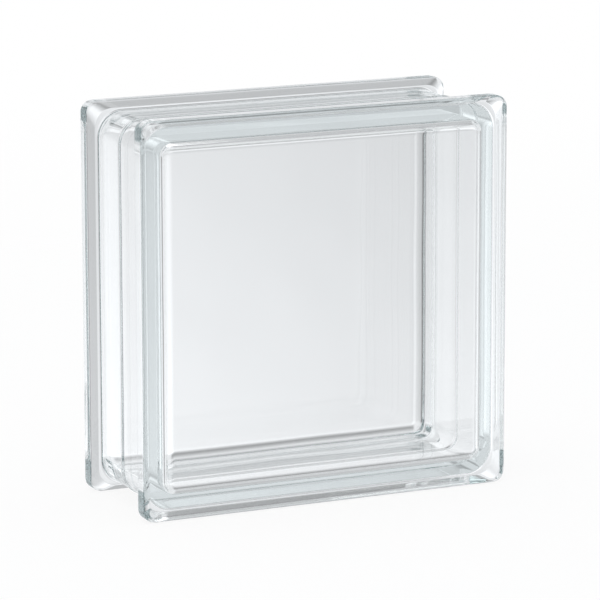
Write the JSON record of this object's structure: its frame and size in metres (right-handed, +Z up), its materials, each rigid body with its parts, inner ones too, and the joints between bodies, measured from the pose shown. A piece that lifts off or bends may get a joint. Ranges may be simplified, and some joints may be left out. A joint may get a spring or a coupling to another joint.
{
  "type": "glass block",
  "caption": "Clear hollow glass block for walls: square panes with raised lips, a recessed mortar channel round the edges and a fused seam at mid-depth.",
  "frame": {"origin": "centre of the lower edge, on the level that the block stands on", "axes": "+Z up, panes facing -Y (front, as pictured) and +Y, +X along the lower edge to the right seen from the front"},
  "size_m": [0.197, 0.079, 0.197],
  "materials": {
    "clear_glass": "clear pressed glass, smooth and glossy, faintly green"
  },
  "bodies": {
    "root": {"glass_block": "clear_glass"}
  },
  "joints": []
}
